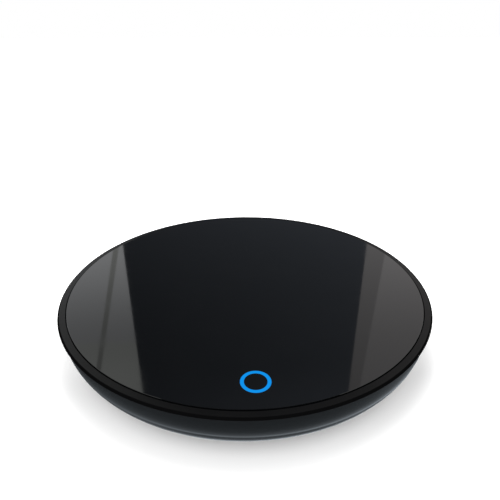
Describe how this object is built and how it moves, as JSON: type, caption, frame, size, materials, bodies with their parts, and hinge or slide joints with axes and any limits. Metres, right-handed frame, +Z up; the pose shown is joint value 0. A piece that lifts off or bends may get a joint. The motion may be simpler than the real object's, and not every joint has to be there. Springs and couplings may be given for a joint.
{
  "type": "electric mug warmer",
  "caption": "Round electric mug warmer with a floating heated glass plate on a sprung weight switch, a lit touch ring, a bevelled bezel and a bowl-shaped base with feet.",
  "frame": {"origin": "on the table under the centre of the disc, at the bottom of the feet", "axes": "+Z up through the glass plate; -Y towards the user, where the lit ring is; +Y towards the cord exit"},
  "size_m": [0.13, 0.13, 0.02],
  "materials": {
    "black_glass": "gloss",
    "lit_blue": "lit",
    "matte_black": "matte",
    "satin_black": "satin",
    "carrier_black": "matte",
    "silicone_grey": "satin",
    "aluminium": "rolled",
    "mica": "satin",
    "ribbon_alloy": "drawn",
    "ceramic_fibre": "felted",
    "pressed_steel": "pressed",
    "zinc_screw": "plated",
    "black_screw": "blackened",
    "brass_tab": "stamped",
    "fuse_can": "satin",
    "epoxy_brown": "dipped",
    "clear_guide": "frosted",
    "board_green": "varnished",
    "lamp_white": "satin",
    "spring_steel": "drawn",
    "button_red": "moulded",
    "black_rubber": "matte",
    "chip_black": "matte",
    "tinned_leads": "tinned",
    "sleeve_blue": "sleeved",
    "resistor_blue": "coated",
    "nylon_cream": "moulded"
  },
  "bodies": {
    "base": {"plate_springs": "spring_steel", "base_housing": "satin_black", "bezel_ring": "matte_black", "bezel_screws": "black_screw", "rubber_feet": "black_rubber", "cord_gland": "black_rubber", "cord_clamp": "carrier_black", "cord_clamp_screws": "zinc_screw", "control_board": "board_green", "board_screws": "zinc_screw", "switch_housing": "chip_black", "switch_terminals": "tinned_leads", "controller_chip": "chip_black", "triac": "chip_black", "filter_capacitor": "sleeve_blue", "bridge_rectifier": "chip_black", "resistors": "resistor_blue", "wire_headers": "nylon_cream"},
    "heating_plate": {"glass_plate": "black_glass", "touch_ring": "lit_blue", "glass_bond": "silicone_grey", "heat_spreader": "aluminium", "mica_upper": "mica", "heating_ribbon": "ribbon_alloy", "mica_lower": "mica", "insulation_pad": "ceramic_fibre", "clamp_plate": "pressed_steel", "clamp_screws": "zinc_screw", "heater_terminals": "brass_tab", "thermal_fuse": "fuse_can", "fuse_clip": "pressed_steel", "temperature_sensor": "epoxy_brown", "plate_carrier": "carrier_black", "guide_screws": "zinc_screw", "guide_washers": "zinc_screw", "light_guide": "clear_guide", "led_board": "board_green", "led_lamps": "lamp_white", "touch_electrode": "spring_steel", "led_board_screws": "zinc_screw"},
    "switch_button": {"switch_plunger": "button_red"}
  },
  "joints": [
    {"name": "plate_press", "type": "slide", "parent": "base", "child": "heating_plate", "axis": [0, 0, 1], "range_m": [-0.0008, 0], "stiffness_N_per_m": 2500, "springref_m": 0.0016, "deforming": ["plate_springs"]},
    {"name": "switch_press", "type": "slide", "parent": "base", "child": "switch_button", "axis": [0, 0, 1], "range_m": [-0.0008, 0], "stiffness_N_per_m": 20, "springref_m": 0.0005}
  ],
  "couplings": [
    {"joint": "switch_press", "follows": "plate_press", "ratio": 1}
  ]
}
